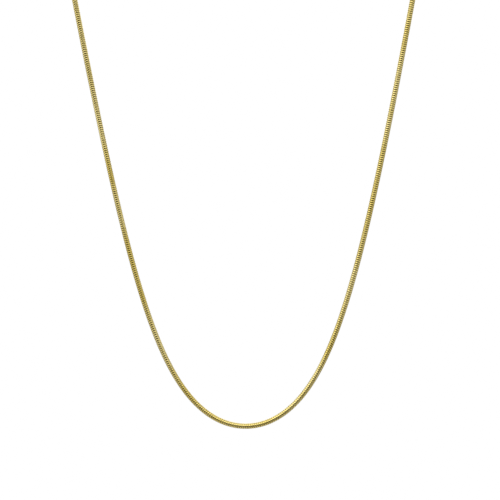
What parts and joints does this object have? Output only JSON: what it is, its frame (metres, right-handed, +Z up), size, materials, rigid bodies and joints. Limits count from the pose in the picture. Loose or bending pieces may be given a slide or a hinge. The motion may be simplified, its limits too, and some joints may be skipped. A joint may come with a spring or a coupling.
{
  "type": "snake chain necklace",
  "caption": "Round snake chain necklace that hangs as a closed loop, with cupped end caps, loose rings and a plain bolt ring clasp at the top.",
  "frame": {"origin": "top of the neck or round form that carries the loop, under the middle of the loop's upper arc, where the clasp lies", "axes": "+Z up, +X to the right seen from the front, +Y from front to back; the loop hangs in the XZ plane"},
  "size_m": [0.1002, 0.0057, 0.1838],
  "materials": {
    "chain_gold": "bright gold plate on finely ribbed links",
    "fittings_gold": "polished gold plate"
  },
  "bodies": {
    "root": {"chain": "chain_gold", "end_cap_left": "fittings_gold", "end_cap_right": "fittings_gold", "clasp_ring": "fittings_gold", "end_ring": "fittings_gold", "clasp": "fittings_gold"}
  },
  "joints": []
}
